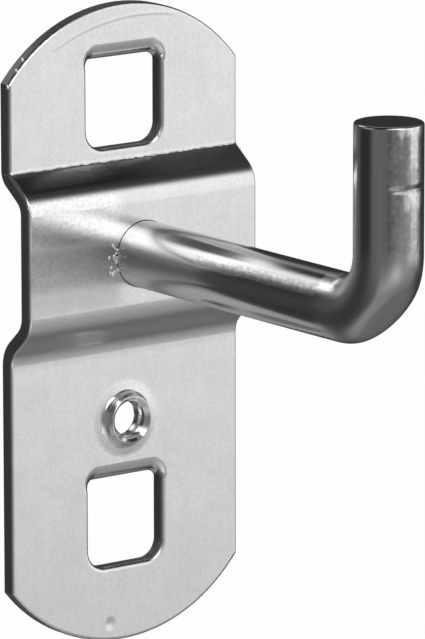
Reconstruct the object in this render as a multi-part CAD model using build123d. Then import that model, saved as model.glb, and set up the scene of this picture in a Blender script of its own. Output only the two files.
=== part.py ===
from build123d import *
import math
import os

# Tool hook for a panel with square perforations. A stamped steel back plate carries two tabs that
# enter the panel, and a round steel bar stands straight out of it and turns up at its end.
# Millimetres. X runs across the plate, -Y points away from the panel, +Z is up.
# The origin lies on the axis of the locking screw, in the plane where the plate meets the panel.

# Panel
perforation_pitch = 38.0

# Sheet and outline of the back plate
sheet = 1.2
plate_width = 25.0
end_rise = 6.0
top_margin = 4.9
bottom_margin = 6.9
edge_roll = 0.3

# Pad: the middle of the plate stands forward of its two flanges
pad_step = 2.9
upper_joggle_gap = 2.45
upper_joggle_drop = 2.1
upper_joggle_inner = 0.5
upper_pad_inner = 1.4
lower_joggle_height = 8.6
lower_joggle_drop = 2.6
lower_joggle_inner = 1.8

# Windows, and the tabs bent back out of them
window_width = 8.0
window_height = 7.9
window_corner = 1.7
window_shoulder = 0.8
shoulder_setback = 0.05
window_roll = 0.45
seat_drop = 5.5
tab_bend_inner = 0.3
tab_angle = 100.0
neutral_share = 0.42

# Locking screw: an M4 thread in a collar drawn forward out of the lower flange
tap_drill_radius = 1.65
collar_height = 1.0
collar_mouth = 0.4
collar_rim_round = 0.15
collar_flare = 0.6
collar_entry = 0.4

# Bar
bar_diameter = 6.0
bar_clearance = 0.05
bar_reach = 38.4
bar_bend = 5.6
bend_flat = 0.9
bend_flat_edge = 2.0
upright_height = 16.9
tip_round = 0.25

# Weld on the back of the pad
bar_tail = 1.2
bead_width = 1.5
bead_crown = 0.35

# Worked out from the sizes above
half_width = plate_width / 2
flange_middle = -sheet / 2
pad_middle = flange_middle - pad_step
pad_back = -pad_step
lower_seat = -seat_drop
upper_seat = lower_seat + perforation_pitch
upper_window_bottom = upper_seat - window_height
plate_top = upper_seat + top_margin
plate_bottom = lower_seat - window_height - bottom_margin
upper_joggle_height = upper_window_bottom - upper_joggle_gap
bar_height = (upper_joggle_height + lower_joggle_height) / 2
bar_radius = bar_diameter / 2
tab_bend_outer = tab_bend_inner + sheet
half_window = window_width / 2
window_lift = tab_bend_outer - math.sqrt(tab_bend_outer**2 - tab_bend_inner**2)

# A length, or a part of a unit vector, that is too small to matter
slight = 0.01


def plate_strip():
    """The joggled strip: its section in the YZ plane, drawn out across the full width."""
    half_upper = upper_joggle_drop / 2
    half_lower = lower_joggle_drop / 2
    path = FilletPolyline(
        (flange_middle, plate_top),
        (flange_middle, upper_joggle_height + half_upper),
        (pad_middle, upper_joggle_height - half_upper),
        (pad_middle, lower_joggle_height + half_lower),
        (flange_middle, lower_joggle_height - half_lower),
        (flange_middle, plate_bottom),
        radius=[
            upper_joggle_inner + sheet / 2,
            upper_pad_inner + sheet / 2,
            lower_joggle_inner + sheet / 2,
            lower_joggle_inner + sheet / 2,
        ],
    )
    section = Plane.YZ * trace(path, line_width=sheet)
    return extrude(section, amount=half_width, both=True)


def plate_outline():
    """The outline seen from the front: straight sides and a shallow arc at each end."""
    top_chord = plate_top - end_rise
    bottom_chord = plate_bottom + end_rise
    outline = Polyline((half_width, top_chord), (half_width, bottom_chord))
    outline += ThreePointArc((half_width, bottom_chord), (0, plate_bottom), (-half_width, bottom_chord))
    outline += Polyline((-half_width, bottom_chord), (-half_width, top_chord))
    outline += ThreePointArc((-half_width, top_chord), (0, plate_top), (half_width, top_chord))
    depth = pad_step + 2 * sheet
    return extrude(Plane.XZ * make_face(outline), amount=depth, both=True)


def faces_forward(face):
    """Tell whether a face of the strip looks forward, flat or bent, and isn't a cut edge."""
    normal = face.normal_at()
    return normal.Y < -slight and abs(normal.X) < slight


def roll_front_edges(plate):
    """Round the front edges of the outline, as the punch leaves them."""
    lone_edges = {}
    for face in filter(faces_forward, plate.faces()):
        for edge in face.edges():
            place = tuple(round(value, 4) for value in (*edge.center(), edge.length))
            lone_edges[place] = None if place in lone_edges else edge
    rim = [edge for edge in lone_edges.values() if edge is not None]
    return fillet(rim, edge_roll)


def roll_section(wall, outward, roll, depth):
    """The metal that a rolled edge leaves away, in a section square to the window's wall.

    The wall stands at the point given, and the roll goes outward from it. The arc has the radius
    of the roll, is tangent to the front face, and meets the wall at the depth given.
    """
    plane = Plane(wall, outward, Vector(outward).cross(Vector(0, -1, 0)))
    foot = (0, sheet - depth)
    reach = math.sqrt(roll**2 - (roll - depth) ** 2)
    middle_turn = math.acos(1 - depth / roll) / 2
    middle = (reach - roll * math.sin(middle_turn), sheet - roll * (1 - math.cos(middle_turn)))
    spare = window_shoulder / 2
    profile = Polyline(foot, (-spare, foot[1]), (-spare, sheet + spare), (reach, sheet + spare))
    profile += Line((reach, sheet + spare), (reach, sheet))
    profile += ThreePointArc((reach, sheet), middle, foot)
    return plane * make_face(profile)


def window_cut(seat):
    """The window below one tab's seat, cut through the flange, with its front edge rolled inwards.

    The upper edge rolls over as far as the tab's bend, and the roll narrows round the shoulders,
    which stop short of the back face and its panel. One half is drawn, and mirrored.
    """
    top = seat + window_lift
    bottom = seat - window_height
    shoulder = half_window - window_shoulder
    shoulder_height = top - window_shoulder
    corner = half_window - window_corner
    corner_height = bottom + window_corner

    lower_rim = Line((half_window, shoulder_height), (half_window, corner_height))
    lower_rim += CenterArc((corner, corner_height), window_corner, 0, -90)
    lower_rim += Line((corner, bottom), (0, bottom))
    shoulder_rim = CenterArc((shoulder, shoulder_height), window_shoulder, 0, 90)
    outline = lower_rim + shoulder_rim + Polyline((shoulder, top), (0, top), (0, bottom))
    cut = extrude(Plane.XZ * make_face(outline), amount=2 * sheet, both=True)
    back = Pos(half_window / 2, 0, shoulder_height + window_shoulder / 2)
    cut += back * Box(half_window, 2 * shoulder_setback, window_shoulder)

    side = roll_section((half_window, 0, shoulder_height), (1, 0, 0), window_roll, window_roll)
    upper = roll_section((shoulder, 0, top), (0, 0, 1), tab_bend_outer, sheet)
    cut += sweep(side, Plane.XZ * lower_rim)
    cut += sweep([side, upper], Plane.XZ * shoulder_rim, multisection=True)
    cut += extrude(upper, amount=shoulder, dir=(-1, 0, 0))
    return cut + mirror(cut, Plane.YZ)


def tab(seat):
    """The tongue from the window, bent back a little past square so that it holds behind the panel.

    It starts at the back of the sheet. The front of its bend is the window's upper edge.
    """
    bend_top = seat + tab_bend_outer
    middle_radius = tab_bend_inner + sheet / 2
    turn = math.radians(tab_angle)
    bend_length = turn * (tab_bend_inner + neutral_share * sheet)
    flat_length = bend_top - (seat - window_height) - bend_length

    bend = CenterArc((tab_bend_inner, bend_top), middle_radius, 180, tab_angle)
    end = bend @ 1
    direction = (math.sin(turn), math.cos(turn))
    tip = (end.X + flat_length * direction[0], end.Y + flat_length * direction[1])
    section = Plane.YZ * trace(bend + Line((end.X, end.Y), tip), line_width=sheet)
    tongue = extrude(section, amount=half_window, both=True)

    tip_edges = tongue.faces().sort_by(Axis((0, 0, 0), (0, direction[0], direction[1])))[-1].edges()
    corner_edges = [edge for edge in tip_edges if abs((edge % 0.5).X) < slight]
    tongue = fillet(corner_edges, window_corner)
    reach = 2 * window_height
    behind = Pos(0, reach / 2, seat) * Box(plate_width, reach, 2 * reach)
    return tongue & behind


def screw_collar():
    """The collar drawn forward round the screw hole: funnel mouth, round rim and flared foot."""
    mouth_radius = tap_drill_radius + collar_mouth
    rim_radius = mouth_radius + collar_rim_round
    root = sheet / 2
    front = sheet
    lip = sheet + collar_height
    flare_height = collar_height - collar_rim_round
    flare_top = front + flare_height
    profile = Polyline((tap_drill_radius, root), (tap_drill_radius, lip - collar_mouth), (mouth_radius, lip))
    profile += CenterArc((mouth_radius, flare_top), collar_rim_round, 90, -90)
    flare_end = (rim_radius + collar_flare, front)
    flare_centre = (rim_radius + collar_flare, flare_top)
    profile += EllipticalCenterArc(flare_centre, collar_flare, flare_height, start_angle=180, arc_size=90)
    profile += Polyline(flare_end, (flare_end[0], root), (tap_drill_radius, root))
    return revolve(Plane((0, 0, 0), (1, 0, 0), (0, 0, -1)) * make_face(profile), Axis.Y)


def screw_hole():
    """The bore of the collar, with the rounded entry that drawing leaves on the panel side."""
    bore = Rot(90, 0, 0) * Cylinder(tap_drill_radius, 4 * (sheet + collar_height))
    entry_radius = tap_drill_radius + collar_entry
    entry = Polyline((0, 0), (entry_radius, 0))
    entry += RadiusArc((entry_radius, 0), (tap_drill_radius, collar_entry), collar_entry)
    entry += Polyline((tap_drill_radius, collar_entry), (0, collar_entry), (0, 0))
    return bore + revolve(Plane((0, 0, 0), (1, 0, 0), (0, 0, -1)) * make_face(entry), Axis.Y)


def make_back_plate():
    """The whole stamping, with the round hole that takes the bar."""
    plate = plate_strip() & plate_outline()
    plate = roll_front_edges(plate)
    for seat in (upper_seat, lower_seat):
        plate = plate - window_cut(seat) + tab(seat)
    plate = plate + screw_collar() - screw_hole()
    bar_hole = Rot(90, 0, 0) * Cylinder(bar_radius + bar_clearance, 4 * sheet)
    return plate - Pos(0, pad_middle, bar_height) * bar_hole


def flatten_bend(bar):
    """Flatten the outside of the bend, as the bending die presses it, with a soft edge round the flat."""
    outward = Vector(0, -1, -1).normalized()
    bend_centre = Vector(0, bar_bend - bar_reach, bar_height + bar_bend)
    flat_centre = bend_centre + outward * (bar_bend + bar_radius - bend_flat)
    flat_plane = Plane(flat_centre, (1, 0, 0), outward)
    pressed = flat_plane * Pos(0, 0, bar_diameter) * Box(2 * bar_diameter, 4 * bar_bend, 2 * bar_diameter)
    bar = bar - pressed
    flat = bar.faces().sort_by(Axis(flat_centre, outward))[-1]
    return fillet(flat.edges(), bend_flat_edge)


def make_hook_rod():
    """The round bar: through the pad, straight out, one tight bend, and up to a flat cut end."""
    tail = (0, pad_back + bar_tail, bar_height)
    corner = (0, -bar_reach, bar_height)
    tip = (0, -bar_reach, bar_height + upright_height)
    path = FilletPolyline(tail, corner, tip, radius=bar_bend)
    section = Plane(tail, (1, 0, 0), (0, -1, 0)) * Circle(bar_radius)
    bar = flatten_bend(sweep(section, path))
    tip_rim = bar.faces().sort_by(Axis.Z)[-1].edges()
    return fillet(tip_rim, tip_round)


def make_weld_bead():
    """The ring of weld that joins the bar's tail to the back of the pad."""
    outer = bar_radius + bead_width
    crown = ((bar_radius + outer) / 2 + bead_crown, bar_tail / 2 + bead_crown)
    profile = Polyline((bar_radius, bar_tail), (bar_radius, 0), (outer, 0))
    profile += ThreePointArc((outer, 0), crown, (bar_radius, bar_tail))
    ring_plane = Plane((0, pad_back, bar_height), (1, 0, 0), (0, 0, 1))
    return revolve(ring_plane * make_face(profile), Axis((0, 0, bar_height), (0, 1, 0)))


os.makedirs("parts", exist_ok=True)
export_step(make_back_plate(), "parts/back_plate.step")
export_step(make_hook_rod(), "parts/hook_rod.step")
export_step(make_weld_bead(), "parts/weld_bead.step")
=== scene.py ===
"""Looks of a zinc plated tool hook for a perforated panel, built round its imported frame.

The hook is a stamped and joggled back plate, a round bar that turns up at its end, and the weld
behind the plate that joins them. Everything is in metres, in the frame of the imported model: X runs
across the plate, -Y points away from the panel and +Z is up.
"""

from __future__ import annotations

import logging
import math
import random
from abc import ABC, abstractmethod
from dataclasses import dataclass
from enum import Enum
from typing import Mapping, Sequence, Union

import bpy
from mathutils import Matrix, Vector, noise

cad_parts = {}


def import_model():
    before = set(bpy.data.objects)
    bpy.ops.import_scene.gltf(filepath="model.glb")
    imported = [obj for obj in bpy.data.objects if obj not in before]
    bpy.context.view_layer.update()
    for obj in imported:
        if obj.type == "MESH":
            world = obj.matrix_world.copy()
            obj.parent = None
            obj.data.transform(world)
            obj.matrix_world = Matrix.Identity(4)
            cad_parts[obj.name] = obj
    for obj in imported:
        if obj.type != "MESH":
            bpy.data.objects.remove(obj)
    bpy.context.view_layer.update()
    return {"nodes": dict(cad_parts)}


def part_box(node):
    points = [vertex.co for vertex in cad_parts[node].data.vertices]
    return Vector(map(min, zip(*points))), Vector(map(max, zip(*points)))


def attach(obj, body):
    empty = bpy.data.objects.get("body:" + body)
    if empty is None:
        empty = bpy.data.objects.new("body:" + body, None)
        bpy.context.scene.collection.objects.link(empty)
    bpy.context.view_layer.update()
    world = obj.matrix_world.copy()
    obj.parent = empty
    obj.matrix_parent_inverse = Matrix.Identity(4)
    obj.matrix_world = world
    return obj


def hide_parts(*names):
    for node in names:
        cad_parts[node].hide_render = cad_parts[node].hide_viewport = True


LOG = logging.getLogger("tool_hook")
MM = 0.001
FAINT_RANGE = (0.3, 0.7)  # the part of a noise's range that a faint change of tone takes up
MOTTLE_RANGE = (0.36, 0.64)  # the narrower part that a clear mottle takes up
Socket = bpy.types.NodeSocket
Source = Union[float, Sequence[float], Socket]
Pair = tuple[float, float]
Triple = tuple[float, float, float]
Point = Triple
Face = tuple[int, ...]


class Slot(Enum):
    """The record's material slots."""

    PLATE = "plate_zinc"
    BAR = "bar_zinc"
    WELD = "weld_zinc"


class Graph:
    """A node tree that is built node by node."""

    def __init__(self, tree: bpy.types.NodeTree) -> None:
        """Empty the tree and keep it.

        Args:
            tree: The node tree of a material or a world.
        """
        self.tree = tree
        tree.nodes.clear()

    def add(
        self, kind: str, inputs: Mapping[object, Source] | None = None, **settings: object
    ) -> bpy.types.Node:
        """Add one node.

        Args:
            kind: The node's type name.
            inputs: What goes into its sockets, by name or number: a value or another socket.
            **settings: The node's own properties.

        Returns:
            The new node.
        """
        node = self.tree.nodes.new(kind)
        for name, value in settings.items():
            setattr(node, name, value)
        for key, source in (inputs or {}).items():
            self.feed(node.inputs[key], source)
        return node

    def feed(self, socket: Socket, source: Source) -> None:
        """Give a socket a value, or link another socket to it.

        Args:
            socket: The socket to feed.
            source: The value or the other socket.
        """
        if isinstance(source, Socket):
            self.tree.links.new(source, socket)
        else:
            socket.default_value = source

    def math(self, operation: str, first: Source, second: Source = 0.0, third: Source = 0.0) -> Socket:
        """Work out one number from others.

        Args:
            operation: The name of the Math node's operation.
            first: Its first input.
            second: Its second input, if it has one.
            third: Its third input, if it has one.

        Returns:
            The socket that holds the result.
        """
        node = self.add("ShaderNodeMath", {0: first, 1: second, 2: third}, operation=operation)
        return node.outputs[0]

    def times(self, first: Source, *others: Source) -> Socket:
        """Multiply numbers, one after the other."""
        for other in others:
            first = self.math("MULTIPLY", first, other)
        return first

    def away(self, value: Source, middle: Source) -> Socket:
        """Work out how far a value is from a middle, to either side."""
        return self.math("ABSOLUTE", self.math("SUBTRACT", value, middle))

    def ramp(
        self, value: Source, start: float, end: float, low: Source = 0.0, high: Source = 1.0
    ) -> Socket:
        """Turn a value into a smooth step.

        Args:
            value: The value.
            start: Where the step starts.
            end: Where it ends, which may be below its start.
            low: What it gives at its start.
            high: What it gives at its end.

        Returns:
            The socket that holds the result.
        """
        inputs = {"Value": value, "From Min": start, "From Max": end, "To Min": low, "To Max": high}
        return self.add("ShaderNodeMapRange", inputs, interpolation_type="SMOOTHSTEP").outputs[0]

    def mix(self, share: Source, first: Source, second: Source) -> Socket:
        """Blend two numbers, and return the first where the share is 0 and the second where it is 1."""
        return self.add("ShaderNodeMix", {0: share, 2: first, 3: second}).outputs[0]

    def noise(self, place: Source, size: float, detail: float = 3.0) -> Socket:
        """Add a noise whose grains have the given size, in the place's own unit."""
        inputs = {"Vector": place, "Scale": 1.0 / size, "Detail": detail}
        return self.add("ShaderNodeTexNoise", inputs).outputs[0]

    def stretched(self, place: Source, scale: Sequence[float]) -> Socket:
        """Scale a place along its three axes, so that a noise read there is drawn out."""
        return self.add("ShaderNodeMapping", {"Vector": place, "Scale": scale}).outputs[0]

    def vary(self, value: Source, mean: float, share: float) -> Socket:
        """Let a noise vary a number about its mean, by a share of it up and down."""
        return self.ramp(value, *FAINT_RANGE, mean * (1 - share), mean * (1 + share))

    def mottle(self, value: Source, mean: float, shares: Pair) -> Socket:
        """Let a noise mottle a number clearly, between two shares of its mean."""
        return self.ramp(value, *MOTTLE_RANGE, *(mean * share for share in shares))

    def band(self, value: Source, limits: Pair, feather: Pair) -> Socket:
        """Mark where a value lies between two limits.

        Args:
            value: The value.
            limits: The band's lower and upper limit.
            feather: How far outside a limit the mark ends, and how far inside it is full.

        Returns:
            A socket that is 1 in the band and 0 off it.
        """
        low, high = limits
        outside, inside = feather
        half = (high - low) / 2
        return self.ramp(self.away(value, (low + high) / 2), half + outside, half - inside)

    def distance(self, across: Source, height: Source, place: Pair) -> Socket:
        """Work out the distance from a place on the plate's front, seen straight on.

        Args:
            across: The socket that holds x.
            height: The socket that holds z.
            place: The place's x and z in metres.

        Returns:
            The socket that holds the distance.
        """
        sides = []
        for value, middle in zip((across, height), place):
            side = self.math("SUBTRACT", value, middle)
            sides.append(self.times(side, side))
        return self.math("SQRT", self.math("ADD", *sides))

    def bump(self, height: Source, distance: float, normal: Source | None = None) -> Socket:
        """Raise or sink the surface a little.

        Args:
            height: How far, from 0 to 1.
            distance: What 1 stands for, in metres. A distance below 0 sinks the surface.
            normal: The normal of an earlier bump, if there is one.

        Returns:
            The socket that holds the new normal.
        """
        inputs = {"Height": height, "Distance": abs(distance), "Strength": 1.0}
        if normal is not None:
            inputs["Normal"] = normal
        return self.add("ShaderNodeBump", inputs, invert=distance < 0).outputs[0]


def new_material(name: str) -> tuple[bpy.types.Material, Graph]:
    """Make an empty material.

    Args:
        name: The material's name.

    Returns:
        The material and its graph.
    """
    made = bpy.data.materials.new(name)
    made.use_nodes = True
    return made, Graph(made.node_tree)


def metal(graph: Graph, tone: Source, roughness: Source, normal: Source) -> None:
    """Finish a material's graph as bare grey metal.

    Args:
        graph: The material's node tree.
        tone: How much light the metal throws back, from 0 to 1.
        roughness: The shader's roughness.
        normal: The normal from the last bump.
    """
    colour = graph.add("ShaderNodeCombineColor", {0: tone, 1: tone, 2: tone}).outputs[0]
    inputs = {"Base Color": colour, "Roughness": roughness, "Metallic": 1.0, "Normal": normal}
    surface = graph.add("ShaderNodeBsdfPrincipled", inputs)
    graph.add("ShaderNodeOutputMaterial", {"Surface": surface.outputs[0]})


def skin(rings: int, turns: int, ring_loop: bool = False, closed: bool = True) -> list[Face]:
    """Give the faces between rings of points, each ring closed on itself.

    Args:
        rings: How many rings there are.
        turns: How many points each has.
        ring_loop: Whether the last ring joins the first.
        closed: Whether the first and the last ring, if they aren't joined, get a face of their own.

    Returns:
        The faces.
    """
    faces: list[Face] = []
    for ring in range(rings if ring_loop else rings - 1):
        low = ring * turns
        high = (ring + 1) % rings * turns
        for turn in range(turns):
            following = (turn + 1) % turns
            faces.append((low + turn, low + following, high + following, high + turn))
    if closed and not ring_loop:
        last = (rings - 1) * turns
        faces.append(tuple(reversed(range(turns))))
        faces.append(tuple(range(last, last + turns)))
    return faces


@dataclass(frozen=True)
class TentPanel:
    """One panel of the light tent, as the hook sees it, with soft edges. Angles are in degrees.

    Azimuth 0 is straight in front of the plate, and 90 to the right as seen from the front.
    """

    azimuth: float
    elevation: float
    half_width: float
    half_height: float
    feather: float
    level: float

    def mask(self, graph: Graph, azimuth: Source, elevation: Source) -> Socket:
        """Work out how far a direction lies on the panel.

        Args:
            graph: The world's node tree.
            azimuth: The direction's azimuth in degrees.
            elevation: Its elevation in degrees.

        Returns:
            A socket that is 1 on the panel, 0 off it, and between over the feather.
        """
        across = graph.math("WRAP", graph.math("SUBTRACT", azimuth, self.azimuth), 180.0, -180.0)
        up = graph.math("SUBTRACT", elevation, self.elevation)
        parts = []
        for offset, half in ((across, self.half_width), (up, self.half_height)):
            distance = graph.math("ABSOLUTE", offset)
            parts.append(graph.ramp(distance, half + self.feather, half - self.feather))
        return graph.times(parts[0], parts[1])


@dataclass(frozen=True)
class LightTent:
    """The soft studio light: a dim tent with brighter panels, one painted over the other.

    Each panel gives its azimuth, elevation, half width, half height, feather and level, in this order.
    """

    base_level: float = 0.05
    panels: tuple[TentPanel, ...] = (
        TentPanel(0, -90, 180, 52, 14, 0.14),
        TentPanel(0, -90, 180, 28, 12, 0.52),
        TentPanel(105, -52, 24, 10, 10, 0.3),
        TentPanel(-138, -30, 40, 14, 8, 0.07),
        TentPanel(-75, -6, 22, 30, 12, 0.27),
        TentPanel(-25, -6, 30, 30, 12, 0.30),
        TentPanel(-38, -12, 4, 12, 4, 0.18),
        TentPanel(15, -8, 24, 30, 14, 0.52),
        TentPanel(0, -42, 64, 16, 12, 0.7),
        TentPanel(50, -44, 22, 16, 8, 0.4),
        TentPanel(-8, -28, 16, 7, 8, 1.4),
        TentPanel(20, 22, 26, 16, 12, 1.1),
        TentPanel(52, 7, 24, 23, 8, 1.3),
        TentPanel(-14, 42, 26, 20, 10, 3.4),
        TentPanel(-164, 36, 15, 9, 8, 2.0),
        TentPanel(142, 42, 16, 13, 6, 0.7),
        TentPanel(-112, 22, 20, 20, 8, 0.6),
        TentPanel(-160, -5, 16, 10, 10, 0.22),
        TentPanel(170, -40, 14, 10, 10, 0.3),
    )

    def build(self) -> None:
        """Make the scene's world shine with the tent's light."""
        world = bpy.data.worlds.new("light_tent")
        world.use_nodes = True
        bpy.context.scene.world = world
        graph = Graph(world.node_tree)
        direction = graph.add("ShaderNodeTexCoord").outputs["Generated"]
        across, depth, height = graph.add("ShaderNodeSeparateXYZ", {0: direction}).outputs
        to_front = graph.times(depth, -1.0)
        azimuth = graph.math("DEGREES", graph.math("ARCTAN2", across, to_front))
        elevation = graph.math("DEGREES", graph.math("ARCSINE", height))
        level: Source = self.base_level
        for panel in self.panels:
            mask = panel.mask(graph, azimuth, elevation)
            level = graph.mix(mask, level, panel.level)
        background = graph.add("ShaderNodeBackground", {"Strength": level})
        graph.add("ShaderNodeOutputWorld", {"Surface": background.outputs[0]})


@dataclass(frozen=True)
class StudioSweep:
    """The plain pale floor, which runs up into a pale dome all round. It lights nothing by itself."""

    floor_height: float = -1.2
    floor_radius: float = 1.2
    wall_radius: float = 1.8
    top_height: float = 1.8
    turns: int = 96
    cove_steps: int = 12
    tone: float = 0.985

    def profile(self) -> list[Pair]:
        """Give the section from the floor's middle up to the dome's top.

        Returns:
            The section's points, each as radius and height.
        """
        cove = self.wall_radius - self.floor_radius
        points = [(0.0, self.floor_height), (self.floor_radius, self.floor_height)]
        for step in range(1, self.cove_steps + 1):
            turn = math.pi / 2 * step / self.cove_steps
            lift = cove * (1 - math.cos(turn))
            points.append((self.floor_radius + cove * math.sin(turn), self.floor_height + lift))
        start = self.floor_height + cove
        for step in range(1, self.cove_steps + 1):
            turn = math.pi / 2 * step / self.cove_steps
            rise = (self.top_height - start) * math.sin(turn)
            points.append((self.wall_radius * math.cos(turn), start + rise))
        return points

    def build(self) -> bpy.types.Object:
        """Turn the profile into the sweep, paint it and mark it as stage.

        Returns:
            The sweep's object.
        """
        rings = self.profile()
        vertices: list[Point] = []
        for radius, height in rings:
            for turn in range(self.turns):
                angle = 2 * math.pi * turn / self.turns
                vertices.append((radius * math.cos(angle), radius * math.sin(angle), height))
        mesh = bpy.data.meshes.new("studio_sweep")
        mesh.from_pydata(vertices, [], skin(len(rings), self.turns, closed=False))
        sweep = bpy.data.objects.new("studio_sweep", mesh)
        bpy.context.scene.collection.objects.link(sweep)
        material, graph = new_material("pale_sweep")
        tone = (self.tone, self.tone, self.tone, 1.0)
        glow = graph.add("ShaderNodeEmission", {"Color": tone, "Strength": 1.0})
        graph.add("ShaderNodeOutputMaterial", {"Surface": glow.outputs[0]})
        mesh.materials.append(material)
        sweep.visible_diffuse = False
        sweep.visible_glossy = False
        sweep.visible_transmission = False
        sweep.visible_shadow = False
        return sweep


@dataclass(frozen=True)
class PhotoCamera:
    """The camera at the photograph's viewing angle, left of the hook and a little above it."""

    azimuth: float = -37.28
    elevation: float = 12.21
    roll: float = 0.08
    distance: float = 592.0 * MM
    target: Point = (5.94 * MM, -6.2 * MM, 9.022 * MM)
    pixels_per_metre: float = 11282.0
    picture_height: int = 639
    sensor: float = 36.0
    clip: Pair = (0.01, 100.0)

    def build(self) -> bpy.types.Object:
        """Make the camera and let the scene use it.

        Returns:
            The camera's object.
        """
        turn, lift, tilt = (math.radians(angle) for angle in (self.azimuth, self.elevation, self.roll))
        right = Vector((math.cos(turn), math.sin(turn), 0.0))
        level = math.cos(lift)
        back = Vector((math.sin(turn) * level, -math.cos(turn) * level, math.sin(lift)))
        up = back.cross(right)
        level_right = right * math.cos(tilt) - up * math.sin(tilt)
        level_up = right * math.sin(tilt) + up * math.cos(tilt)
        lens = bpy.data.cameras.new("photo_camera")
        lens.sensor_width = self.sensor
        lens.lens = self.pixels_per_metre * self.distance / self.picture_height * self.sensor
        lens.clip_start, lens.clip_end = self.clip
        camera = bpy.data.objects.new("photo_camera", lens)
        bpy.context.scene.collection.objects.link(camera)
        axes = Matrix((level_right, level_up, back)).transposed().to_4x4()
        camera.matrix_world = Matrix.Translation(Vector(self.target) + back * self.distance) @ axes
        bpy.context.scene.camera = camera
        return camera


@dataclass(frozen=True)
class PlateSpot:
    """A spot on the plate, in its material's graph: its point, its x, y and z, and its grain."""

    graph: Graph
    point: Socket
    across: Socket
    depth: Socket
    height: Socket
    grain: Socket

    def off(self, place: Pair) -> Socket:
        """Work out the distance from a place on the plate's front, given as x and z in metres."""
        return self.graph.distance(self.across, self.height, place)


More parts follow.
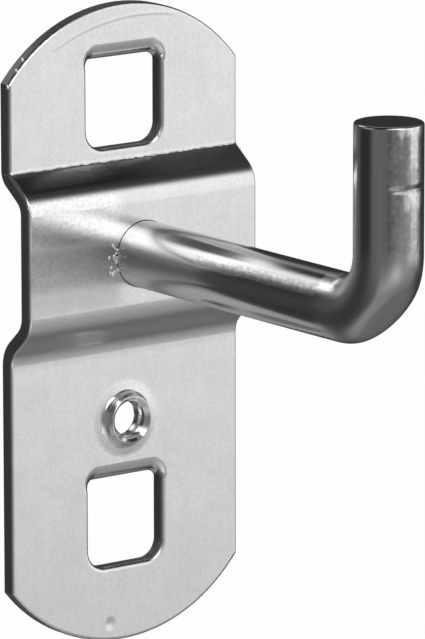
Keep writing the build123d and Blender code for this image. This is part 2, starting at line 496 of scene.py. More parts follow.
@dataclass(frozen=True)
class SheetZinc:
    """Bright zinc on rolled and stamped sheet: fine grain, faint clouds, duller sheared edges.

    It also holds the marks of this plate: a painted reflection of the bar left of its root, darker
    below and brighter above, painted shade in dark specks on the upper joggle and the die's ragged
    line over it, a darker band across the lower joggle, a small dent below the lower window and a
    faint scribed arc near the top. Places are x and z in metres.
    """

    name: str = "rolled_sheet_zinc"
    tone: float = 0.8
    roughness: float = 0.2
    grain_size: float = 0.28 * MM
    grain_tone: float = 0.035
    rolling_stretch: Triple = (1.0, 1.0, 0.1)
    rolling_size: float = 0.6 * MM
    rolling_tone: float = 0.014
    grain_height: float = 0.0014 * MM
    cloud_size: float = 2.6 * MM
    cloud_tone: float = 0.025
    cloud_height: float = 0.004 * MM
    cut_tone: float = 0.27
    cut_roughness: float = 0.45
    lowest_bend: float = -10.0 * MM
    plate_middle: float = 8.55 * MM
    end_reach: float = 24.0 * MM
    sheared_side: Pair = (0.1, 0.3)
    sheared_corner: Pair = (0.92, 0.65)
    sheared_face: Pair = (0.5, 0.12)
    bend_underside: Pair = (-0.4, -0.6)
    collar_place: Pair = (0.0, 0.0)
    collar_reach: float = 4.2 * MM
    collar_core: float = 0.8
    collar_roughness: float = 0.17
    skirt: Pair = (3.6 * MM, 2.5 * MM)
    skirt_rise: float = 0.05 * MM
    upper_joggle: Pair = (20.6 * MM, 23.6 * MM)
    upper_joggle_roughness: float = 0.17
    joggle_feather: Pair = (0.0, 0.8 * MM)
    # Left of the bar's root: a rougher patch, and a painted reflection of the bar, a darker band with a
    # brighter glow above it, mottled.
    painted_reflection_side: Pair = (-1.8 * MM, -3.6 * MM)
    beside_root_roughness: float = 0.36
    beside_root_height: Pair = (10.5 * MM, 17.6 * MM)
    beside_root_height_feather: Pair = (0.0, 1.0 * MM)
    painted_reflection_bands: tuple[Triple, ...] = (
        (13.2 * MM, 17.0 * MM, 0.62),
        (17.2 * MM, 21.4 * MM, 0.99),
    )
    painted_reflection_feather: Pair = (0.5 * MM, 0.7 * MM)
    painted_reflection_mottle: Pair = (0.9, 1.05)
    # Painted shade on the upper joggle's front: dark specks, more towards the left.
    painted_shade_band: Pair = (21.7 * MM, 23.5 * MM)
    painted_shade_side: Pair = (6.0 * MM, -3.0 * MM)
    painted_shade_tone: float = 0.28
    painted_shade_feather: Pair = (0.0, 0.5 * MM)
    painted_shade_front: float = -1.22 * MM
    painted_shade_specks: Pair = (0.74, 0.62)
    lower_joggle: Pair = (5.4 * MM, 11.4 * MM)
    lower_joggle_roughness: float = 0.3
    # A darker band across the lower joggle.
    lower_joggle_dark_band: Pair = (6.9 * MM, 9.9 * MM)
    lower_joggle_feather: Pair = (0.3 * MM, 0.7 * MM)
    lower_joggle_tone: float = 0.52
    fold_line: float = 23.45 * MM
    fold_wander: float = 0.3 * MM
    fold_grain: float = 0.5 * MM
    fold_width: float = 0.09 * MM
    fold_depth: float = 0.05 * MM
    dent_place: Pair = (-1.75 * MM, -18.65 * MM)
    dent_radius: float = 0.75 * MM
    dent_depth: float = 0.04 * MM
    arc_centre: Pair = (1.8 * MM, 15.75 * MM)
    arc_radius: float = 20.5 * MM
    arc_width: float = 0.26 * MM
    arc_height: float = 0.012 * MM
    arc_middle: float = -1.0 * MM
    arc_reach: float = 7.0 * MM
    arc_fade: float = 1.0 * MM

    def material(self) -> bpy.types.Material:
        """Build the material.

        Returns:
            The new material, named after the finish.
        """
        made, graph = new_material(self.name)
        point = graph.add("ShaderNodeTexCoord").outputs["Object"]
        across, depth, height = graph.add("ShaderNodeSeparateXYZ", {0: point}).outputs
        grain = graph.noise(point, self.grain_size)
        cloud = graph.noise(point, self.cloud_size)
        spot = PlateSpot(graph, point, across, depth, height, grain)
        cut = self.sheared(spot)
        tone = graph.mix(cut, self.toned(spot, cloud), self.cut_tone)
        roughness = graph.mix(cut, self.roughened(spot), self.cut_roughness)
        metal(graph, tone, roughness, self.relief(spot, cloud))
        return made

    def toned(self, spot: PlateSpot, cloud: Socket) -> Socket:
        """Work out the tone: clouds, grain, rolling, the lower joggle's darker band, the painted
        reflection left of the bar's root and the painted shade on the upper joggle.

        Args:
            spot: The spot on the plate.
            cloud: The noise of the clouds.

        Returns:
            The socket that holds the tone.
        """
        graph = spot.graph
        clouded = graph.vary(cloud, self.tone, self.cloud_tone)
        grained = graph.vary(spot.grain, 1.0, self.grain_tone)
        rolled = graph.noise(graph.stretched(spot.point, self.rolling_stretch), self.rolling_size)
        tone = graph.times(clouded, grained, graph.vary(rolled, 1.0, self.rolling_tone))
        # A darker band across the lower joggle.
        band = graph.band(spot.height, self.lower_joggle_dark_band, self.lower_joggle_feather)
        tone = graph.mix(band, tone, self.lower_joggle_tone)
        # Painted reflection of the bar left of its root: a darker band below, a brighter glow above.
        painted_reflection_across = graph.ramp(spot.across, *self.painted_reflection_side)
        for low, high, level in self.painted_reflection_bands:
            band = graph.band(spot.height, (low, high), self.painted_reflection_feather)
            painted_reflection_zone = graph.times(band, painted_reflection_across)
            tone = graph.mix(painted_reflection_zone, tone, graph.mottle(spot.grain, level, self.painted_reflection_mottle))
        # Painted shade: dark specks on the upper joggle's front.
        return graph.mix(self.painted_joggle_shade(spot), tone, self.painted_shade_tone)

    def roughened(self, spot: PlateSpot) -> Socket:
        """Work out the roughness, which differs on the joggles, by the bar's root and at the collar.

        Args:
            spot: The spot on the plate.

        Returns:
            The socket that holds the roughness.
        """
        graph = spot.graph
        roughness: Source = self.roughness
        for limits, level in (
            (self.upper_joggle, self.upper_joggle_roughness),
            (self.lower_joggle, self.lower_joggle_roughness),
        ):
            fold = graph.band(spot.height, limits, self.joggle_feather)
            roughness = graph.mix(fold, roughness, level)
        # Rougher left of the bar's root, where the bar's reflection is painted.
        painted_reflection_zone = graph.band(spot.height, self.beside_root_height, self.beside_root_height_feather)
        painted_reflection_zone = graph.times(painted_reflection_zone, graph.ramp(spot.across, *self.painted_reflection_side))
        roughness = graph.mix(painted_reflection_zone, roughness, self.beside_root_roughness)
        core = self.collar_core * self.collar_reach
        near_collar = graph.ramp(spot.off(self.collar_place), self.collar_reach, core)
        return graph.mix(near_collar, roughness, self.collar_roughness)

    def relief(self, spot: PlateSpot, cloud: Socket) -> Socket:
        """Raise or sink the clouds, the grain and the marks of this plate.

        Args:
            spot: The spot on the plate.
            cloud: The noise of the clouds.

        Returns:
            The socket that holds the normal.
        """
        normal: Socket | None = None
        for mark, rise in (
            (cloud, self.cloud_height),
            (spot.grain, self.grain_height),
            (spot.graph.ramp(spot.off(self.collar_place), *self.skirt), self.skirt_rise),
            (self.fold_mark(spot), -self.fold_depth),
            (self.dent(spot), -self.dent_depth),
            (self.scribed_arc(spot), self.arc_height),
        ):
            normal = spot.graph.bump(mark, rise, normal)
        return normal

    def painted_joggle_shade(self, spot: PlateSpot) -> Socket:
        """Mark the painted shade on the upper joggle's front: dark specks, more towards the plate's
        left side.

        Args:
            spot: The spot on the plate.

        Returns:
            A socket that is 1 where the shade is painted.
        """
        graph = spot.graph
        band = graph.band(spot.height, self.painted_shade_band, self.painted_shade_feather)
        side = graph.ramp(spot.across, *self.painted_shade_side)
        in_front = graph.math("LESS_THAN", spot.depth, self.painted_shade_front)
        return graph.times(band, side, in_front, graph.ramp(spot.grain, *self.painted_shade_specks))

    def sheared(self, spot: PlateSpot) -> Socket:
        """Mark the sheared edges and their rolled corners, but for the collar and the windows' bends.

        Args:
            spot: The spot on the plate.

        Returns:
            A socket that is 1 on them.
        """
        graph = spot.graph
        normal = graph.add("ShaderNodeNewGeometry").outputs["Normal"]
        sideways, facing, rising = graph.add("ShaderNodeSeparateXYZ", {0: normal}).outputs
        facing = graph.math("ABSOLUTE", facing)
        sideways = graph.ramp(graph.math("ABSOLUTE", sideways), *self.sheared_side)
        off_middle = graph.away(spot.height, self.plate_middle)
        at_end = graph.math("GREATER_THAN", off_middle, self.end_reach)
        outline = graph.math("MAXIMUM", sideways, at_end)
        rolled = graph.times(graph.ramp(facing, *self.sheared_corner), outline)
        edge = graph.math("MAXIMUM", graph.ramp(facing, *self.sheared_face), rolled)
        in_front = graph.math("LESS_THAN", spot.depth, 0.0)
        off_collar = graph.math("GREATER_THAN", spot.off(self.collar_place), self.collar_reach)
        bend = graph.math("GREATER_THAN", spot.height, self.lowest_bend)
        bend = graph.times(bend, graph.ramp(rising, *self.bend_underside))
        return graph.times(edge, in_front, off_collar, graph.math("SUBTRACT", 1.0, bend))

    def fold_mark(self, spot: PlateSpot) -> Socket:
        """Mark the ragged line that the die leaves where the upper joggle starts.

        Args:
            spot: The spot on the plate.

        Returns:
            A socket that is 1 on the line.
        """
        graph = spot.graph
        wander = graph.math("SUBTRACT", graph.noise(spot.point, self.fold_grain), 0.5)
        line = graph.math("ADD", self.fold_line, graph.times(wander, self.fold_wander))
        distance = graph.away(spot.height, line)
        return graph.ramp(distance, self.fold_width, 0.0)

    def dent(self, spot: PlateSpot) -> Socket:
        """Mark the small round dent below the lower window."""
        return spot.graph.ramp(spot.off(self.dent_place), self.dent_radius, 0.0)

    def scribed_arc(self, spot: PlateSpot) -> Socket:
        """Mark the faint arc that is scribed over the upper window.

        Args:
            spot: The spot on the plate.

        Returns:
            A socket that is 1 on the arc.
        """
        graph = spot.graph
        offset = graph.math("SUBTRACT", spot.off(self.arc_centre), self.arc_radius)
        line = graph.ramp(graph.math("ABSOLUTE", offset), self.arc_width, 0.0)
        aside = graph.away(spot.across, self.arc_middle)
        ends = graph.ramp(aside, self.arc_reach, self.arc_reach - self.arc_fade)
        above = graph.math("GREATER_THAN", spot.height, self.arc_centre[1])
        return graph.times(line, ends, above)


@dataclass(frozen=True)
class ScuffAndSheenPatch:
    """A scuffed patch of the bar, its tone partly painted light: its azimuths in degrees, its run in
    millimetres and its tone.
    """

    first_azimuth: float
    last_azimuth: float
    start: float
    end: float
    tone: float
    side_wander: float = 12.0
    side_feather: float = 3.0
    run_wander: float = 1.6
    run_feather: float = 0.2
    start_feather: float = 0.4

    def mask(self, graph: Graph, azimuth: Source, along: Source, wander: Source) -> Socket:
        """Work out how far a place lies on the patch, whose border wanders.

        Args:
            graph: The bar's node tree.
            azimuth: The place's azimuth in degrees.
            along: Its distance along the bar in millimetres.
            wander: A noise from -0.5 to 0.5.

        Returns:
            A socket that is 1 on the patch and 0 off it.
        """
        ragged = graph.math("ADD", along, graph.times(wander, self.run_wander))
        middle = (self.first_azimuth + self.last_azimuth) / 2
        half = (self.last_azimuth - self.first_azimuth) / 2
        aside = graph.away(azimuth, middle)
        aside = graph.math("ADD", aside, graph.times(wander, self.side_wander))
        across = graph.ramp(aside, half + self.side_feather, half - self.side_feather)
        started = graph.ramp(ragged, self.start - self.run_feather, self.start + self.start_feather)
        ended = graph.ramp(ragged, self.end + self.run_feather, self.end - self.run_feather)
        return graph.times(across, graph.times(started, ended))


@dataclass(frozen=True)
class DrawnBarZinc:
    """Bright zinc on drawn bar: streaks that run along it, and scuffs on the upright's front and on
    the arm, whose tones are partly painted light.

    It reads the bar's "run" attribute, which holds each point's place in its round section and its
    distance along the bar, in millimetres. Azimuth 0 is the upright's front.
    """

    name: str = "drawn_bar_zinc"
    tone: float = 0.5
    roughness: float = 0.16
    streak_size: float = 0.3
    streak_stretch: Triple = (1.0, 1.0, 1 / 40.0)
    streak_tone: float = 0.05
    streak_height: float = 0.0008 * MM
    grain_size: float = 0.2
    grain_height: float = 0.0012 * MM
    scuff_roughness: float = 0.26
    scuff_size: float = 0.45
    scuff_height: float = 0.004 * MM
    scuff_and_sheen_mottle: Pair = (0.78, 1.2)
    blotch_detail: float = 5.0
    scratch_detail: float = 4.0
    scratch_stretch: Triple = (1.0, 1.0, 0.15)
    tip_face: float = 0.8
    bend_start: float = 29.0
    bend_end: float = 42.0
    bend_fade: float = 3.0
    bend_roughness: float = 0.3
    root_end: float = 15.0
    root_fade: float = 7.0
    root_roughness: float = 0.24
    # Scuffed patches; their tones are partly painted light, the brightest standing in for highlights.
    scuffs_and_sheen: tuple[ScuffAndSheenPatch, ...] = (
        ScuffAndSheenPatch(-42.0, 76.0, 40.5, 60.0, 0.38),
        ScuffAndSheenPatch(1.0, 13.0, 40.5, 60.0, 0.62),
        ScuffAndSheenPatch(22.0, 46.0, 40.5, 60.0, 0.46),
        ScuffAndSheenPatch(-14.0, 28.0, 44.1, 45.5, 0.8),
        ScuffAndSheenPatch(-24.0, 34.0, 50.3, 60.0, 0.9),
        ScuffAndSheenPatch(0.0, 14.0, 47.5, 60.0, 0.9),
        ScuffAndSheenPatch(-132.0, -112.0, 13.0, 30.0, 0.6),
        ScuffAndSheenPatch(-162.0, -126.0, 29.6, 32.6, 0.95),
    )

    def material(self) -> bpy.types.Material:
        """Build the material.

        Returns:
            The new material, named after the finish.
        """
        made, graph = new_material(self.name)
        run = graph.add("ShaderNodeAttribute", attribute_name="run").outputs["Vector"]
        side, top, along = graph.add("ShaderNodeSeparateXYZ", {0: run}).outputs
        streak = graph.noise(graph.stretched(run, self.streak_stretch), self.streak_size)
        grain = graph.noise(run, self.grain_size)
        blotch = graph.noise(run, self.scuff_size, self.blotch_detail)
        scratch = graph.stretched(run, self.scratch_stretch)
        scratch = graph.noise(scratch, self.scuff_size, self.scratch_detail)
        scuff_and_sheen_noise = graph.math("ADD", graph.times(blotch, 0.5), graph.times(scratch, 0.5))
        wander = graph.math("SUBTRACT", scratch, 0.5)
        azimuth = graph.math("DEGREES", graph.math("ARCTAN2", side, graph.times(top, -1.0)))
        off_tip = self.off_tip(graph, along)
        tone = graph.vary(streak, self.tone, self.streak_tone)
        worn: Source = 0.0
        # Scuffs, their tones partly painted light.
        for patch in self.scuffs_and_sheen:
            mask = graph.times(off_tip, patch.mask(graph, azimuth, along, wander))
            tone = graph.mix(mask, tone, graph.mottle(scuff_and_sheen_noise, patch.tone, self.scuff_and_sheen_mottle))
            worn = graph.math("MAXIMUM", worn, mask)
        normal = graph.bump(grain, self.grain_height, graph.bump(streak, self.streak_height))
        normal = graph.bump(graph.times(worn, blotch), self.scuff_height, normal)
        metal(graph, tone, self.roughened(graph, along, worn), normal)
        return made

    def off_tip(self, graph: Graph, along: Socket) -> Socket:
        """Mark all but the flat face at the bar's tip, which the scuffs leave free.

        Args:
            graph: The material's node tree.
            along: The distance along the bar in millimetres.

        Returns:
            A socket that is 1 off the face.
        """
        normal = graph.add("ShaderNodeNewGeometry").outputs["Normal"]
        rising = graph.add("ShaderNodeSeparateXYZ", {0: normal}).outputs[2]
        sloping = graph.math("LESS_THAN", rising, self.tip_face)
        return graph.math("MAXIMUM", sloping, graph.math("LESS_THAN", along, self.bend_end))

    def roughened(self, graph: Graph, along: Socket, worn: Source) -> Socket:
        """Work out the roughness, which is higher on the scuffs, in the bend and at the root.

        Args:
            graph: The material's node tree.
            along: The distance along the bar in millimetres.
            worn: How scuffed the place is, from 0 to 1.

        Returns:
            The socket that holds the roughness.
        """
        bent = graph.times(
            graph.ramp(along, self.bend_start, self.bend_start + self.bend_fade),
            graph.ramp(along, self.bend_end, self.bend_end - self.bend_fade),
        )
        root = graph.ramp(along, self.root_end, self.root_end - self.root_fade)
        roughness = graph.mix(worn, self.roughness, self.scuff_roughness)
        roughness = graph.mix(bent, roughness, self.bend_roughness)
        return graph.mix(root, roughness, self.root_roughness)


@dataclass(frozen=True)
class WeldZinc:
    """Zinc over weld metal: duller and coarser than on sheet or bar."""

    name: str = "weld_metal_zinc"
    tone: float = 0.6
    roughness: float = 0.35
    grain_size: float = 0.4 * MM
    grain_tone: float = 0.1
    grain_height: float = 0.01 * MM

    def material(self) -> bpy.types.Material:
        """Build the material.

        Returns:
            The new material, named after the finish.
        """
        made, graph = new_material(self.name)
        grain = graph.noise(graph.add("ShaderNodeTexCoord").outputs["Object"], self.grain_size)
        tone = graph.vary(grain, self.tone, self.grain_tone)
        metal(graph, tone, self.roughness, graph.bump(grain, self.grain_height))
        return made


@dataclass(frozen=True)
class NoduleAndGlintZinc(WeldZinc):
    """Zinc that has built up in a nodule: pale and matt. On the plate's edges its pale tone paints in
    highlight dots.
    """

    name: str = "nodule_and_glint_zinc"
    # Pale tone: painted highlight where the nodules sit on the plate's edges.
    tone: float = 0.93
    roughness: float = 0.5


Finish = Union[SheetZinc, DrawnBarZinc, WeldZinc]


class HookPiece(ABC):
    """A piece of the hook, which builds its mesh and dresses it with its finish."""

    finish: Finish
    slot: Slot

    @abstractmethod
    def build(self) -> bpy.types.Object:
        """Build the piece and return its object."""

    def dress(self, piece: bpy.types.Object) -> None:
        """Give the piece its finish all over.

        Args:
            piece: The piece's object.
        """
        made = bpy.data.materials.get(self.finish.name) or self.finish.material()
        piece.data.materials.clear()
        piece.data.materials.append(made)


def add_piece(
    name: str, vertices: Sequence[Point], faces: Sequence[Face], crease: float
) -> bpy.types.Object:
    """Make a smooth piece of the hook from its mesh, riding on the hook's one body.

    Args:
        name: The piece's name.
        vertices: Its points in metres.
        faces: Its faces, each a run of point numbers.
        crease: The angle in degrees above which an edge stays sharp.

    Returns:
        The piece's object.
    """
    mesh = bpy.data.meshes.new(name)
    mesh.from_pydata(vertices, [], faces)
    mesh.polygons.foreach_set("use_smooth", [True] * len(mesh.polygons))
    mesh.set_sharp_from_angle(angle=math.radians(crease))
    piece = bpy.data.objects.new(name, mesh)
    bpy.context.scene.collection.objects.link(piece)
    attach(piece, "root")
    return piece


@dataclass(frozen=True)
class BackPlate(HookPiece):
    """The stamped back plate, which keeps its CAD mesh."""

    solid: bpy.types.Object
    finish: Finish = SheetZinc()
    slot: Slot = Slot.PLATE

    def build(self) -> bpy.types.Object:
        """Give the plate's CAD object as it is."""
        return self.solid


@dataclass(frozen=True)
class BarPath:
    """The bar's centre line, measured on its CAD node: arm, bend and upright."""

    radius: float
    arm_height: float
    tail: float
    upright: float
    tip: float
    bend: float

    @classmethod
    def measured(cls, node: str, bend: float) -> BarPath:
        """Measure the bar's node.

        Args:
            node: The CAD node's name.
            bend: The radius of the centre line in the bend.

        Returns:
            The bar's path.
        """
        low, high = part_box(node)
        radius = (high.x - low.x) / 2
        return cls(radius, low.z + radius, high.y, low.y + radius, high.z, bend)

    @property
    def bend_centre(self) -> Vector:
        """The point that the bend turns about."""
        return Vector((0.0, self.upright + self.bend, self.arm_height + self.bend))

    @property
    def arm_length(self) -> float:
        """The straight length from the tail to the bend."""
        return self.tail - self.bend_centre.y

    @property
    def bend_length(self) -> float:
        """The length of the centre line in the bend."""
        return math.pi / 2 * self.bend

    @property
    def length(self) -> float:
        """The whole length from the tail to the tip."""
        return self.arm_length + self.bend_length + self.tip - self.bend_centre.z

    def at(self, along: float) -> tuple[Vector, Vector]:
        """Give the centre and the direction at a distance along the bar.

        Args:
            along: The distance from the tail.

        Returns:
            The point on the centre line and the unit vector along it.
        """
        if along < self.arm_length:
            return Vector((0.0, self.tail - along, self.arm_height)), Vector((0.0, -1.0, 0.0))
        turned = along - self.arm_length
        if turned < self.bend_length:
            turn = turned / self.bend
            arm = Vector((0.0, -math.sin(turn), -math.cos(turn)))
            return self.bend_centre + arm * self.bend, Vector((0.0, -math.cos(turn), math.sin(turn)))
        height = self.bend_centre.z + turned - self.bend_length
        return Vector((0.0, self.upright, height)), Vector((0.0, 0.0, 1.0))


@dataclass(frozen=True)
class HookBar(HookPiece):
    """The round bar: its bend is pressed flat outside, and its upright has a nick in front."""

    node: str = "hook_rod"
    bend: float = 5.6 * MM
    flat_depth: float = 0.9 * MM
    flat_softness: float = 0.35 * MM
    flat_fade: float = 8.0
    rim_round: float = 0.25 * MM
    rim_steps: int = 6
    nick_below_tip: float = 5.4 * MM
    nick_half_width: float = 0.26 * MM
    nick_depth: float = 0.12 * MM
    nick_azimuth: Pair = (-40.0, 46.0)
    nick_bluntness: int = 4
    nick_zone: float = 3.0
    spacing: float = 0.16 * MM
    fine_spacing: float = 0.04 * MM
    turns: int = 96
    crease: float = 40.0
    finish: Finish = DrawnBarZinc()
    slot: Slot = Slot.BAR

    def stations(self, path: BarPath) -> list[Pair]:
        """Place the bar's rings, closest together at the nick.

        Args:
            path: The bar's path.

        Returns:
            Each ring's distance along the bar and its radius.
        """
        places: list[Pair] = []
        nick = path.length - self.nick_below_tip
        along = 0.0
        while along < path.length - self.rim_round:
            places.append((along, path.radius))
            near = abs(along - nick) < self.nick_zone * self.nick_half_width
            along += self.fine_spacing if near else self.spacing
        for step in range(self.rim_steps + 1):
            turn = math.pi / 2 * step / self.rim_steps
            along = path.length - self.rim_round * (1 - math.sin(turn))
            places.append((along, path.radius - self.rim_round * (1 - math.cos(turn))))
        return places

    def pressed(self, path: BarPath, point: Vector) -> Vector:
        """Move a point inwards if it lies outside the bend's flat.

        Args:
            path: The bar's path.
            point: The point on the round bar.

        Returns:
            The point on the pressed bar.
        """
        outward = Vector((0.0, -1.0, -1.0)).normalized()
        limit = path.bend + path.radius - self.flat_depth
        excess = ((point - path.bend_centre).dot(outward) - limit) / self.flat_softness
        if excess < -self.flat_fade:
            return point
        return point - outward * self.flat_softness * math.log1p(math.exp(excess))

    def nicked(self, path: BarPath, along: float, azimuth: float) -> float:
        """Work out how deep the nick is at a place on the upright.

        Args:
            path: The bar's path.
            along: The place's distance along the bar.
            azimuth: Its azimuth in degrees.

        Returns:
            The depth in metres.
        """
        off_line = (along - path.length + self.nick_below_tip) / self.nick_half_width
        first, last = self.nick_azimuth
        off_side = abs(azimuth - (first + last) / 2) / ((last - first) / 2)
        fade = max(0.0, 1.0 - off_side**self.nick_bluntness)
        return self.nick_depth * fade * math.exp(-off_line * off_line)

    def build(self) -> bpy.types.Object:
        """Build the bar in place of its CAD node.

        Returns:
            The bar's object, with its "run" attribute.
        """
        path = BarPath.measured(self.node, self.bend)
        vertices: list[Point] = []
        runs: list[float] = []
        stations = self.stations(path)
        for along, radius in stations:
            centre, direction = path.at(along)
            upward = Vector((0.0, direction.z, -direction.y))
            for turn in range(self.turns):
                angle = 2 * math.pi * turn / self.turns
                across, up = math.cos(angle), math.sin(angle)
                azimuth = math.degrees(math.atan2(across, -up))
                depth = self.nicked(path, along, azimuth)
                offset = Vector((across, 0.0, 0.0)) + upward * up
                vertices.append(tuple(self.pressed(path, centre + offset * (radius - depth))))
                runs.extend((across * path.radius / MM, up * path.radius / MM, along / MM))
        piece = add_piece("hook_bar", vertices, skin(len(stations), self.turns), self.crease)
        attribute = piece.data.attributes.new("run", "FLOAT_VECTOR", "POINT")
        attribute.data.foreach_set("vector", runs)
        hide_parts(self.node)
        return piece


@dataclass(frozen=True)
class RippledWeld(HookPiece):
    """The ring of weld behind the pad, with the ripples of a bead laid round the bar's tail."""

    node: str = "weld_bead"
    bar_node: str = "hook_rod"
    turns: int = 240
    ripples: int = 30
    ripple_depth: float = 0.13
    wander: float = 0.06
    drift_lobes: tuple[int, int] = (3, 5)
    drift_start: float = 1.0
    fullness: float = 0.75
    steps: int = 12
    crease: float = 60.0
    finish: Finish = WeldZinc()
    slot: Slot = Slot.WELD

    def build(self) -> bpy.types.Object:
        """Build the bead in place of its CAD node.

        Returns:
            The bead's object.
        """
        low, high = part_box(self.node)
        bar_low, bar_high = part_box(self.bar_node)
        inner = (bar_high.x - bar_low.x) / 2
        width = (high.x - low.x) / 2 - inner
        rise = high.y - low.y
        centre = (high.z + low.z) / 2
        first, second = self.drift_lobes
        vertices: list[Point] = []
        for turn in range(self.turns):
            angle = 2 * math.pi * turn / self.turns
            ripple = self.ripple_depth * abs(math.sin(self.ripples * angle / 2))
            lobes = math.sin(first * angle + self.drift_start) * math.sin(second * angle)
            drift = self.wander * (0.5 + 0.5 * lobes)
            size = 1.0 - ripple - drift
            section = [(inner, low.y)]
            for step in range(self.steps + 1):
                slope = math.pi / 2 * step / self.steps
                reach = width * size * math.sin(slope) ** self.fullness
                section.append((inner + reach, low.y + rise * size * math.cos(slope) ** self.fullness))
            for radius, depth in section:
                vertices.append((radius * math.cos(angle), depth, centre + radius * math.sin(angle)))
        faces = skin(self.turns, self.steps + 2, ring_loop=True)
        piece = add_piece("rippled_weld", vertices, faces, self.crease)
        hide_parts(self.node)
        return piece


@dataclass(frozen=True)
class CollarThread(HookPiece):
    """The crests of the M4 thread inside the collar, as one helical ridge on the bore's wall."""

    bore: float = 1.65 * MM
    crest: float = 1.5 * MM
    pitch: float = 0.7 * MM
    start: float = -0.45 * MM
    end: float = -1.75 * MM
    sunk: float = 0.02 * MM
    flank: float = 0.4
    turns: int = 72
    fade_steps: int = 9
    crease: float = 25.0
    finish: Finish = SheetZinc()
    slot: Slot = Slot.PLATE

    def build(self) -> bpy.types.Object:
        """Build the ridge.

        Returns:
            The ridge's object.
        """
        count = round((self.start - self.end) / self.pitch * self.turns)
        half = self.pitch * self.flank
        root = self.bore + self.sunk
        vertices: list[Point] = []
        for step in range(count + 1):
            angle = 2 * math.pi * step / self.turns
            depth = self.start - self.pitch * step / self.turns
            fade = min(1.0, step / self.fade_steps, (count - step) / self.fade_steps)
            crest = self.bore - (self.bore - self.crest) * fade
            for radius, shift in ((root, half), (crest, 0.0), (root, -half)):
                vertices.append((radius * math.cos(angle), depth + shift, radius * math.sin(angle)))
        return add_piece("collar_thread", vertices, skin(count + 1, 3), self.crease)


@dataclass(frozen=True)
class Grain:
    """One irregular grain of metal: its middle, and its half lengths along X, Y and Z."""

    centre: Vector
    half: Vector
    rows: int = 7
    columns: int = 10
    noise_scale: float = 1.7
    noise_shift: Triple = (1.0, 0.7, -1.0)

    def points(self, seed: float, rough: float) -> list[Point]:
        """Work out the grain's points.

        Args:
            seed: A number of its own, which sets its shape.
            rough: How uneven it is, as a share of its size.

        Returns:
            The points, ring by ring.
        """
        shift = Vector(seed * part for part in self.noise_shift)
        points: list[Point] = []
        for row in range(self.rows):
            polar = math.pi * (row + 0.5) / self.rows
            for column in range(self.columns):
                turn = 2 * math.pi * column / self.columns
                ring = math.sin(polar)
                way = Vector((ring * math.cos(turn), math.cos(polar), ring * math.sin(turn)))
                swell = 1.0 + rough * noise.noise(way * self.noise_scale + shift)
                offset = Vector((way.x * self.half.x, way.y * self.half.y, way.z * self.half.z))
                points.append(tuple(self.centre + offset * swell))
        return points


@dataclass(frozen=True)
class GrainPiece(HookPiece):
    """A piece made of many irregular grains, each with a number of its own for its shape."""

    rough: float = 0.5
    crease: float = 70.0
    seed_step: float = 3.7
    seed_start: float = 1.3

    def gather(self, name: str, grains: Sequence[Grain]) -> bpy.types.Object:
        """Join grains into one piece.

        Args:
            name: The piece's name.
            grains: Its grains.

        Returns:
            The piece's object.
        """
        vertices: list[Point] = []
        faces: list[Face] = []
        for number, grain in enumerate(grains):
            sides = skin(grain.rows, grain.columns)
            faces.extend(tuple(len(vertices) + index for index in side) for side in sides)
            vertices.extend(grain.points(self.seed_step * number + self.seed_start, self.rough))
        return add_piece(name, vertices, faces, self.crease)


@dataclass(frozen=True)
class WeldSpatter(GrainPiece):
    """Specks of weld metal in the corner between the bar's root and the pad's front."""

    count: int = 15
    first_angle: float = 158.0
    last_angle: float = 203.0
    spread: float = 0.9 * MM
    sizes: Pair = (0.13 * MM, 0.22 * MM)
    lift: float = 0.3
    flatness: float = 0.5
    stretch: Pair = (0.8, 1.3)
    rough: float = 0.3
    seed: int = 11
    finish: Finish = NoduleAndGlintZinc()
    slot: Slot = Slot.PLATE

    def build(self) -> bpy.types.Object:
        """Build the specks.

        Returns:
            The specks' object.
        """
        dice = random.Random(self.seed)
        pad_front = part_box("back_plate")[0].y
        path = BarPath.measured(HookBar.node, HookBar.bend)
        grains: list[Grain] = []
        for _ in range(self.count):
            angle = math.radians(dice.uniform(self.first_angle, self.last_angle))
            size = dice.uniform(*self.sizes)
            reach = path.radius + dice.random() ** 2 * self.spread + self.lift * size
            height = path.arm_height + reach * math.sin(angle)
            half = Vector((size, self.flatness * size, size * dice.uniform(*self.stretch)))
            grains.append(Grain(Vector((reach * math.cos(angle), pad_front, height)), half))
        return self.gather("weld_spatter", grains)


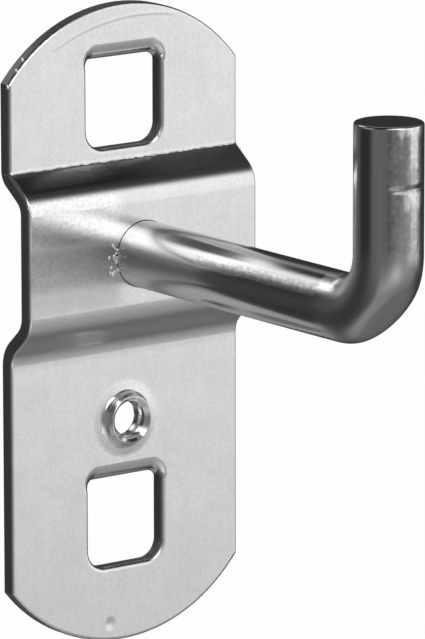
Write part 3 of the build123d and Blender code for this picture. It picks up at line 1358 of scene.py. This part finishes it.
@dataclass(frozen=True)
class FoldBurrs(GrainPiece):
    """Fine burrs of zinc along the line where the upper joggle starts."""

    line: float = 23.35 * MM
    scatter: float = 0.1 * MM
    count: int = 46
    flange_front: float = -1.2 * MM
    side_margin: float = 0.5 * MM
    sizes: Pair = (0.04 * MM, 0.11 * MM)
    lift: float = 0.1
    stretch: Pair = (1.0, 2.2)
    rough: float = 0.7
    seed: int = 5
    finish: Finish = SheetZinc()
    slot: Slot = Slot.PLATE

    def build(self) -> bpy.types.Object:
        """Build the burrs.

        Returns:
            The burrs' object.
        """
        dice = random.Random(self.seed)
        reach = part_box("back_plate")[1].x - self.side_margin
        grains: list[Grain] = []
        for _ in range(self.count):
            size = dice.uniform(*self.sizes)
            across = dice.uniform(-reach, reach)
            height = self.line + dice.uniform(-1, 1) * self.scatter
            centre = Vector((across, self.flange_front - self.lift * size, height))
            grains.append(Grain(centre, Vector((size * dice.uniform(*self.stretch), size, size))))
        return self.gather("fold_burrs", grains)


@dataclass(frozen=True)
class NodulesAndGlints(GrainPiece):
    """Nodules of zinc on the plate's front edges, set at its highlight dots, whose pale tone paints
    those highlights in. Places are x, y and z in metres.
    """

    # The plate's highlight dots, which the pale nodules paint in.
    places: tuple[Point, ...] = (
        (-10.95 * MM, -1.1 * MM, 33.5 * MM),
        (-12.45 * MM, -1.05 * MM, 31.2 * MM),
        (-11.6 * MM, -1.1 * MM, 32.6 * MM),
        (-12.44 * MM, -4.02 * MM, 20.95 * MM),
        (4.15 * MM, -1.2 * MM, 32.2 * MM),
        (3.85 * MM, -1.2 * MM, 25.15 * MM),
        (12.4 * MM, -1.7 * MM, 22.9 * MM),
    )
    size: float = 0.16 * MM
    shares: Triple = (1.0, 0.7, 1.2)
    finish: Finish = NoduleAndGlintZinc()
    slot: Slot = Slot.PLATE

    def build(self) -> bpy.types.Object:
        """Build the nodules.

        Returns:
            The nodules' object.
        """
        half = Vector(share * self.size for share in self.shares)
        grains = [Grain(Vector(place), half) for place in self.places]
        return self.gather("nodules_and_glints", grains)


def main() -> None:
    """Build the scene round the frame, piece by piece."""
    logging.basicConfig(level=logging.INFO, format="%(name)s: %(message)s")
    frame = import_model()
    bpy.context.scene.view_settings.view_transform = "Standard"
    LightTent().build()
    StudioSweep().build()
    PhotoCamera().build()
    pieces: tuple[HookPiece, ...] = (
        BackPlate(frame["nodes"]["back_plate"]),
        CollarThread(),
        FoldBurrs(),
        NodulesAndGlints(),
        HookBar(),
        RippledWeld(),
        WeldSpatter(),
    )
    for maker in pieces:
        piece = maker.build()
        maker.dress(piece)
        LOG.info("%s: %d faces in %s", piece.name, len(piece.data.polygons), maker.finish.name)


if __name__ == "__main__":
    main()
